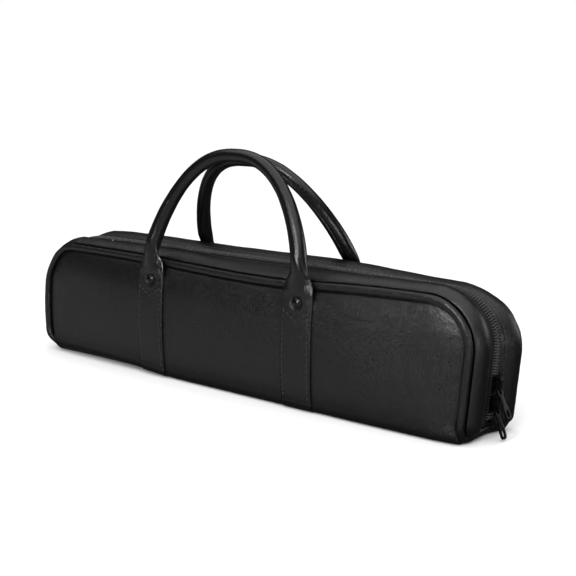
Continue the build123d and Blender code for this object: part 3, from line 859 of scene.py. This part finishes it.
def handle_line(side, lean, base, rise):
    """centre line (x, y, z, roll) of the leather from foot to foot; roll goes from 0, flat strap, to 1, tube"""
    arch, steps = [], 90
    for k in range(steps + 1):
        a = math.pi * k / steps
        x = -74.9 * math.copysign(abs(math.cos(a)) ** 0.84, math.cos(a))
        s = rise * math.sin(a) ** 1.47
        z = 103.5 + s * math.cos(math.radians(lean))
        arch.append((x, side * (base - s * math.sin(math.radians(lean))), z, rolled(z)))
    feet = []
    for end, first in ((-1, arch[0]), (1, arch[-1])):
        foot = []
        for k in range(16):
            t = k / 16
            z = FOOT_LOW + (103.5 - FOOT_LOW) * t
            surface = strap_face(end * STRAP_X, z, side) if z < STRAP_END else strap_face(end * STRAP_X, STRAP_END, side)
            y = surface + (base - surface) * smooth((z - 86) / 19)
            foot.append((end * (STRAP_X + 0.4 * t), side * y, z, rolled(z)))
        feet.append(foot)
    return feet[0] + arch + feet[1][::-1]


def rolled_handle(name, side, lean, base, rise, material):
    line = handle_line(side, lean, base, rise)
    wide = 30
    sections, count = [], len(line)
    for i, (x, y, z, roll) in enumerate(line):
        before, after = line[max(0, i - 1)], line[min(count - 1, i + 1)]
        along = Vector(after[:3]) - Vector(before[:3])
        along.normalize()
        face = Vector((0, side, 0)) - along * along.y * side
        face.normalize()
        across = along.cross(face)
        half = max(0.02, roll * (math.pi - 0.02))
        span = STRAP_W + (math.tau * TUBE - STRAP_W) * roll
        bend = span / (2 * half)
        section = []
        for layer in (0.0, 1.7):
            steps = range(wide + 1) if layer == 0.0 else range(wide, -1, -1)
            for k in steps:
                u = -1 + 2 * k / wide
                a = u * half
                edge = max(0.0, 1 - (1 - abs(u)) / 0.06) ** 2
                d = bend - layer + (-0.55 * edge if layer == 0.0 else 0.35 * edge)
                d += 0.12 * wave(x + 9 * u, y, z, 9, 3) if layer == 0.0 else 0.0
                thick = 1.03 + 0.2 * smooth((170 - z) / 60)
                behind, over = (bend - d * math.cos(a)) * thick, d * math.sin(a) * (1 + (thick - 1) * roll)
                pressed = 4.2 * (1 - math.exp(-max(0.0, behind) / 4.2)) + min(0.0, behind)
                out = TUBE * roll * thick - behind - (pressed - behind) * smooth((114 - z) / 16)
                section.append(tuple(c + face[m] * out + across[m] * over for m, c in enumerate((x, y, z))))
        sections.append(section)
    return make_piece(name, *loft(sections), material, None)


handle_leather = leather("handle_leather", (0.0019, 0.0019, 0.0018), (0.0042, 0.0041, 0.0039), dull=0.15, grain=0.5, creases=0.8)
for node, (side, body, lean, base, rise) in HANDLES.items():
    tube = rolled_handle(node + "_tube", side, lean, base, rise, handle_leather)
    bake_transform(tube)
    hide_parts(node, node + "_core")

# ====================================================================== stitching
# Waxed black thread holds the straps down along both edges and in a V below each rivet, the gussets to the
# zip tapes, the bottom's hems, and the rolled handles shut along their inner side.
def stitch_tree():
    """one plump stitch of two plies, sunk at both ends"""
    sizes = {"Pitch": 0.0040, "Length": 0.0030, "Thread": 0.00062}
    group, tree, wires, output = geometry_tree("stitch_row", sizes)
    row = lambda x, y, z: tree.node("ShaderNodeCombineXYZ", None, {0: x, 1: y, 2: z})
    ball = tree.node("GeometryNodeMeshUVSphere", None, {"Segments": 8, "Rings": 7, "Radius": 0.5})
    size = row(wires["Length"], wires["Thread"], wires["Thread"])
    grain = tree.node("GeometryNodeTransform", None, {"Geometry": ball, "Scale": size})
    return repeat(tree, wires, group, output, *along_lines(tree, wires), grain)


def twisted(work):
    """waxed thread: fine ply lines and a dull sheen"""
    place = work.node("ShaderNodeTexCoord", None, None, "Object")
    ply = work.node("ShaderNodeTexWave", {"wave_type": "BANDS", "bands_direction": "DIAGONAL"},
                    {"Vector": place, "Scale": 900.0, "Distortion": 2.0}, "Fac")
    return {
        "Base Color": work.blend(ply, (0.008, 0.008, 0.008), (0.035, 0.034, 0.033)),
        "Roughness": 0.5 + ply * 0.2,
        "Normal": work.node("ShaderNodeBump", None, {"Strength": 0.5, "Distance": 0.0001, "Height": ply}),
    }


thread = finish_surface("black_thread", twisted, {}, ("Base Color", "Roughness", "Normal"))
stitch_row = stitch_tree()
SEW_IN, SEW_TOP, SEW_POINT = 11.2, 74.5, 67.0  # strap rows in from the middle; where the V starts and ends
sewn = {"front_half": [], "rear_half": [], "front_handle": [], "rear_handle": []}


def strap_row(corners, side):
    """a sewn line over the strap's face through corners (x, z), a point every millimetre"""
    line = []
    for (x1, z1), (x2, z2) in zip(corners, corners[1:]):
        count = max(1, round(math.hypot(x2 - x1, z2 - z1)))
        for k in range(count):
            x, z = x1 + (x2 - x1) * k / count, z1 + (z2 - z1) * k / count
            y = side * (strap_face(x, z, side) + 0.08)
            line.append((settle(x, y, z, False), (0.0, side, 0.0)))
    return line


def rim_row(side, low):
    """a sewn line on the gusset's folded edge"""
    line = []
    for x, z, nx, nz in rim(0.0, low, 1.5):
        e = gusset_rise(8.6) - tuck(z) + 0.12
        line.append((settle(x + nx * e, side * gusset_y(8.6, side), z + nz * e), (nx, 0.0, nz)))
    return line


def handle_row(side, lean, base, rise):
    """a sewn line beside the handle's long seam, which faces the other handle"""
    line, made = handle_line(side, lean, base, rise), []
    for i in range(2, len(line) - 2):
        x, y, z, roll = line[i]
        if roll < 0.995:
            continue
        along = (Vector(line[i + 1][:3]) - Vector(line[i - 1][:3])).normalized()
        face = (Vector((0, side, 0)) - along * along.y * side).normalized()
        out = face * math.cos(2.72) + along.cross(face) * math.sin(2.72)
        made.append((tuple(Vector((x, y, z)) + out * (TUBE + 0.05)), tuple(out)))
    return made


for side, body, heel in ((-1, "front_half", 11.0), (1, "rear_half", 13.0)):
    for x0 in (-STRAP_X, STRAP_X):
        for end in (-1, 1):
            sewn[body].append(strap_row([(x0 + end * SEW_IN, heel), (x0 + end * SEW_IN, SEW_TOP)], side))
        sewn[body].append(strap_row([(x0 - SEW_IN, SEW_TOP), (x0, SEW_POINT), (x0 + SEW_IN, SEW_TOP)], side))
    sewn[body].append(rim_row(side, 6.0))
for y in (-25.4, 25.4):
    sewn["rear_half"].append([(settle(x, y, 0.78), (0.0, 0.0, -1.0)) for x in range(-196, 197, 4)])
for node, (side, body, lean, base, rise) in HANDLES.items():
    sewn[node].append(handle_row(side, lean, base, rise))
for body, lines in sewn.items():
    stitches = grow(body + "_stitches", lines, stitch_row, thread)
    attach(stitches, body)

# ====================================================================== sliders, pulls and stops
# Two cast sliders, black plated, meet at the foot of the right end. Each carries a pull with a ribbed tab and an
# open loop. A pressed stop closes each end of the zip.
def cast(node, width, material):
    """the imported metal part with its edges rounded"""
    mesh = frame["nodes"][node].data.copy()
    work = bmesh.new()
    work.from_mesh(mesh)
    bmesh.ops.remove_doubles(work, verts=work.verts, dist=1e-6)
    bmesh.ops.dissolve_limit(work, angle_limit=math.radians(1.5), verts=work.verts, edges=work.edges)
    work.to_mesh(mesh)
    work.free()
    mesh.name = node + "_cast"
    mesh.materials.clear()
    mesh.materials.append(material)
    mesh.polygons.foreach_set("use_smooth", [True] * len(mesh.polygons))
    piece = bpy.data.objects.new(node + "_cast", mesh)
    bpy.context.collection.objects.link(piece)
    bevel = piece.modifiers.new("edges", "BEVEL")
    bevel.width, bevel.segments, bevel.angle_limit = width, 3, math.radians(38)
    bevel.harden_normals = True
    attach(piece, node if node in frame["bodies"] else "rear_half")
    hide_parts(node)
    return piece


def cast_black(work):
    """black plated zinc: satin, a little brighter where it rubs"""
    place = work.node("ShaderNodeTexCoord", None, None, "Object")
    patch = work.noise(place, 420.0, 3.0)
    marks = work.noise(place, 3000.0, 2.0)
    return {
        "Base Color": work.blend(patch, (0.008, 0.008, 0.0085), (0.024, 0.024, 0.026)),
        "Roughness": 0.26 + patch * 0.2,
        "Normal": work.node("ShaderNodeBump", None, {"Strength": 0.2, "Distance": 0.00006, "Height": marks}),
    }


slider_black = finish_surface("slider_black", cast_black, {"Metallic": 1.0}, ("Base Color", "Roughness", "Normal"))


def rib_tree():
    """short raised rib across a pull's tab"""
    sizes = {"Pitch": 0.0009, "Length": 0.0030, "Height": 0.0005}
    group, tree, wires, output = geometry_tree("tab_ribs", sizes)
    row = lambda x, y, z: tree.node("ShaderNodeCombineXYZ", None, {0: x, 1: y, 2: z})
    ball = tree.node("GeometryNodeMeshUVSphere", None, {"Segments": 10, "Rings": 8, "Radius": 0.5})
    bar = tree.node("GeometryNodeTransform", None, {"Geometry": ball, "Scale": row(wires["Height"], wires["Length"], wires["Height"])})
    return repeat(tree, wires, group, output, *along_lines(tree, wires), bar)


tab_ribs = rib_tree()
PIVOTS = {"upper_pull": (216.629, 36.202, 25.0), "lower_pull": (215.638, 22.702, 20.0)}  # x, z, lean in degrees
for node in ("upper_slider", "lower_slider"):
    cast(node, 0.00028, slider_black)
for node, (x, z, lean) in PIVOTS.items():
    cast(node, 0.00032, slider_black)
    down = Vector((math.sin(math.radians(lean)), 0, -math.cos(math.radians(lean))))
    out = Vector((math.cos(math.radians(lean)), 0, math.sin(math.radians(lean))))
    rows = []
    for face in (-1, 1):
        for k in (0, 1):
            rows.append([(tuple(Vector((x, 0, z)) + down * t + out * face * 0.66), tuple(out * face)) for t in (6.6, 12.2)][:: 1 if k else -1])
    ribs = grow(node + "_ribs", rows[::2], tab_ribs, slider_black)
    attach(ribs, node)
for node in ("zip_stop_left", "zip_stop_right"):
    cast(node, 0.0002, gunmetal)

# ====================================================================== stiffening boards
# Thin black fibre board behind both panels and in the bottom keeps the case straight.
def pressed_board(work):
    """black fibre board with short fibres"""
    place = work.node("ShaderNodeTexCoord", None, None, "Object")
    fibre = work.noise(place, 900.0, 5.0, 0.7)
    cloud = work.noise(place, 40.0, 3.0)
    return {
        "Base Color": work.blend(fibre * 0.7 + cloud * 0.3, (0.016, 0.016, 0.016), (0.04, 0.039, 0.038)),
        "Roughness": 0.85 + cloud * 0.1,
        "Normal": work.node("ShaderNodeBump", None, {"Strength": 0.4, "Distance": 0.00015, "Height": fibre}),
    }


black_board = finish_surface("black_board", pressed_board, {}, ("Base Color", "Roughness", "Normal"))
frame["nodes"]["bottom_board"].data.materials.clear()
frame["nodes"]["bottom_board"].data.materials.append(black_board)


def cushion(name, grid, face, back, material):
    """closed piece over a grid of (x, z): its front at y = face(x, z), its flat back at y = back"""
    rows = [[(x, face(x, z), z) for x, z in line] for line in grid]
    wide, high = len(grid[0]), len(grid)
    border = list(range(wide)) + [i * wide + wide - 1 for i in range(1, high)]
    border += [(high - 1) * wide + j for j in range(wide - 2, -1, -1)] + [i * wide for i in range(high - 2, 0, -1)]
    points = [p for row in rows for p in row]
    first = len(points)
    points += [(points[i][0], back, points[i][2]) for i in border]
    ring_round = list(range(first, len(points)))
    faces = net(rows) + [tuple(ring_round)]
    faces += [(a, b, d, c) for a, b, c, d in zip(border, border[1:] + border[:1], ring_round, ring_round[1:] + ring_round[:1])]
    return make_piece(name, points, faces, material)


for node, body, face, back in (("front_board", "front_half", -29.6, -27.8), ("back_board", "rear_half", 27.9, 29.6)):
    board = cushion(node + "_sheet", fill_outline(-7.8, 4.0, 60, 20), lambda x, z: face, back, black_board)
    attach(board, body)
    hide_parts(node)

# ====================================================================== lined inside
# The lid has a thin plush pad with a sewn channel round it. The rear half is filled by a plush-covered foam
# block with three rounded troughs, for the body, the head joint and the foot joint of the flute.
def plush_pile(work):
    """short charcoal pile, brushed in patches"""
    place = work.node("ShaderNodeTexCoord", None, None, "Object")
    pile = work.noise(place, 2400.0, 4.0, 0.7)
    brushed = work.noise(place, 26.0, 3.0, 0.55, 1.2)
    return {
        "Base Color": work.blend(brushed * 0.6 + pile * 0.4, (0.006, 0.006, 0.007), (0.022, 0.022, 0.025)),
        "Roughness": 0.86 + pile * 0.12,
        "Normal": work.node("ShaderNodeBump", None, {"Strength": 0.8, "Distance": 0.0004, "Height": pile + brushed * 0.8}),
    }


charcoal_plush = finish_surface("charcoal_plush", plush_pile, {"Sheen Weight": 0.12, "Sheen Roughness": 0.4, "Specular IOR Level": 0.2},
                                ("Base Color", "Roughness", "Normal"))
TROUGHS = ((0.0, 27.0, 372.0, 38.0), (-76.0, 72.0, 234.0, 34.0), (116.5, 72.0, 133.0, 34.0))  # x, z, length, width


def trough_face(x, z):
    deep = 0.0
    for cx, cz, long, wide in TROUGHS:
        qx, qz = abs(x - cx) - long / 2 + 9, abs(z - cz) - wide / 2 + 9
        inside = 9 - min(max(qx, qz), 0.0) - math.hypot(max(qx, 0.0), max(qz, 0.0))
        deep = max(deep, 22.5 * smooth((inside + 1.0) / 8.5))
    edge = max(0.0, -4.2 - out_of_rim(x, z))
    edge = min(edge, z - 4.2)
    lip = 3.2 * (1 - math.sqrt(1 - (1 - min(1.0, max(0.0, edge) / 3.2)) ** 2))
    return -0.7 + deep + lip + 0.15 * wave(x, 3, z, 14, 6)


def lid_face(x, z):
    edge = min(max(0.0, -6.6 - out_of_rim(x, z)), z - 10.4)
    full = math.sqrt(1 - (1 - min(1.0, max(0.0, edge) / 5.5)) ** 2)
    channel = 1.9 * math.exp(-(((edge - 11) / 1.4) ** 2))
    return -27.75 + 4.6 * full + 1.6 * smooth((edge - 11) / 26) - channel + 0.25 * wave(x, 9, z, 24, 2)


lid_pad = cushion("lid_pad", fill_outline(-6.6, 10.4, 190, 50), lid_face, -27.8, charcoal_plush)
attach(lid_pad, "front_half")
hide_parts("front_lining")
insert = cushion("flute_insert", fill_outline(-4.2, 4.2, 330, 84), trough_face, 27.6, charcoal_plush)
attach(insert, "rear_half")
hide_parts("insert_face", "insert_block")

# ====================================================================== stage
# A plain pale floor and soft studio light, seen from the photograph's place.
def plain_floor(work):
    place = work.node("ShaderNodeTexCoord", None, None, "Object")
    mist = work.noise(place, 3.0)
    return {"Base Color": work.blend(mist, (0.9, 0.9, 0.9), (0.92, 0.92, 0.92)), "Roughness": 0.7 + mist * 0.1}


floor = make_piece(
    "floor", [(-9000, -9000, 0), (9000, -9000, 0), (9000, 9000, 0), (-9000, 9000, 0)], [(0, 1, 2, 3)],
    finish_surface("floor_paint", plain_floor, {}, ("Base Color", "Roughness")), moved=None,
)


def lamp(name, place, target, size, power):
    light = bpy.data.lights.new(name, "AREA")
    light.shape, light.size, light.size_y, light.energy = "RECTANGLE", size[0], size[1], power
    holder = bpy.data.objects.new(name, light)
    holder.location = place
    holder.rotation_euler = (Vector(target) - Vector(place)).to_track_quat("-Z", "Y").to_euler()
    bpy.context.collection.objects.link(holder)


lamp("key", (0.13, -1.15, 0.44), (0.19, 0, 0.09), (0.20, 0.16), 6.6)
lamp("high_front", (0.53, -1.12, 0.92), (0.15, 0, 0.09), (0.35, 0.25), 4.5)
lamp("floor_glow", (-0.25, -0.71, 0.0005), (-0.25, -0.71, 1.0), (2.0, 1.32), 3.0)
lamp("right", (1.3, -0.5, 0.15), (0.2, 0, 0.06), (0.5, 0.25), 2.8)
lamp("behind", (1.0, 1.3, 0.4), (0.1, 0, 0.06), (0.8, 0.4), 3.0)
sky_light = bpy.data.lights.new("soft_sky", "SUN")
sky_light.energy, sky_light.angle, sky_light.specular_factor = 2.4, math.radians(100), 0.0
sky = bpy.data.objects.new("soft_sky", sky_light)
sky.rotation_euler = (math.radians(8), math.radians(5), 0)
bpy.context.collection.objects.link(sky)
floor.visible_glossy = False
world = bpy.data.worlds.new("studio")
world.use_nodes = True
air = Tree(world.node_tree)
seen = air.node("ShaderNodeLightPath", None, None, "Is Camera Ray")
lit = air.node("ShaderNodeLightPath", None, None, "Is Diffuse Ray")
world.node_tree.links.new(
    (seen * 0.96 + lit * 0.46 + 0.04).socket, world.node_tree.nodes["Background"].inputs["Strength"]
)
world.node_tree.nodes["Background"].inputs["Color"].default_value = (1, 1, 1, 1)
bpy.context.scene.world = world
bpy.context.scene.view_settings.view_transform = "Standard"

camera = bpy.data.objects.new("camera", bpy.data.cameras.new("camera"))
camera.data.sensor_width, camera.data.lens = 36.0, 62.5
camera.data.clip_start, camera.data.clip_end = 0.05, 50.0
camera.location = (0.5030, -0.5980, 0.2157)
view = Euler((math.radians(90 - 9.99), 0, math.radians(37.91))).to_matrix() @ Matrix.Rotation(math.radians(0.9), 3, "Z")
camera.rotation_euler = view.to_euler()
bpy.context.collection.objects.link(camera)
bpy.context.scene.camera = camera
